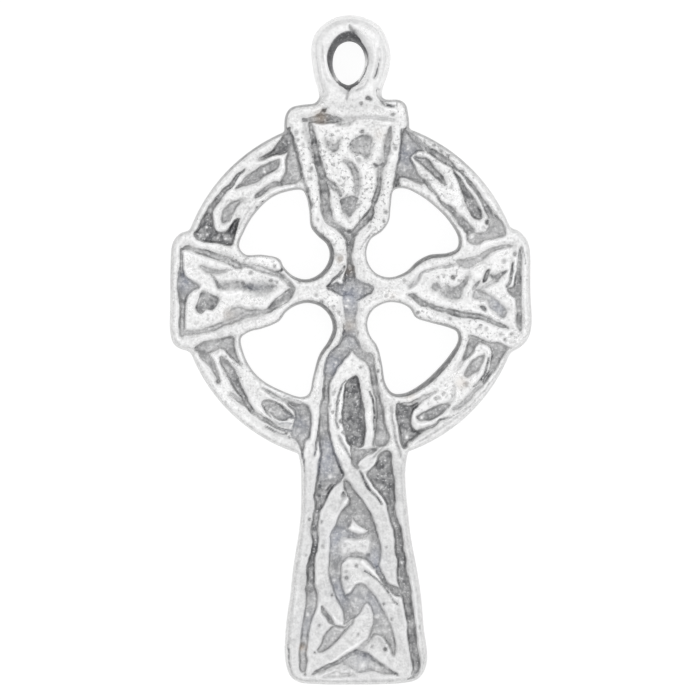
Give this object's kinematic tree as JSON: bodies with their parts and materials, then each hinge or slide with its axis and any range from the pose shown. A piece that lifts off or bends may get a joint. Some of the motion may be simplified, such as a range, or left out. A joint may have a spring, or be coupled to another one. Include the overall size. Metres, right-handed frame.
{
  "type": "celtic cross pendant",
  "caption": "Cast silver ringed cross pendant with raised rims and knotwork, open quarters inside the ring and a bail loop at the top.",
  "frame": {"origin": "on the flat back, under the middle of the casting's bounding box", "axes": "+X across the arms, +Y up the stem to the bail, +Z out of the carved face"},
  "size_m": [0.0182, 0.0336, 0.0022],
  "materials": {
    "antiqued_silver": "tumbled cast silver, bright on the rims and strands and darkened in the sunk floors"
  },
  "bodies": {
    "root": {"cross_casting": "antiqued_silver"}
  },
  "joints": []
}
